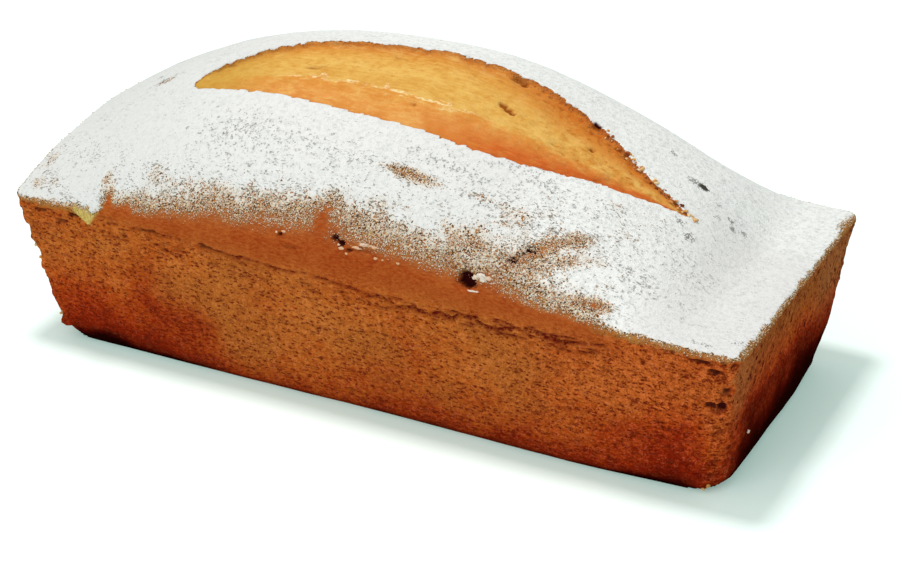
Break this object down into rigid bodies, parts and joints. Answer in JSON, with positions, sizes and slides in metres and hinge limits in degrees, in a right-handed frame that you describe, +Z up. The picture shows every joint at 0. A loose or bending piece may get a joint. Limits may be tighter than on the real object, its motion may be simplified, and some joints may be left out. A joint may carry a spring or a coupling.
{
  "type": "pound cake loaf",
  "caption": "Whole tin-baked pound cake loaf with flared sides, a domed top and an open split along the crest.",
  "frame": {"origin": "centre of the footprint on the surface the loaf stands on", "axes": "+X along the loaf to the end with the low flat shelf, +Z up, -Y to the long side with the wider sugar-free band"},
  "size_m": [0.2296, 0.1062, 0.0918],
  "materials": {
    "baked_crumb": null
  },
  "bodies": {
    "root": {"loaf": "baked_crumb"}
  },
  "joints": []
}
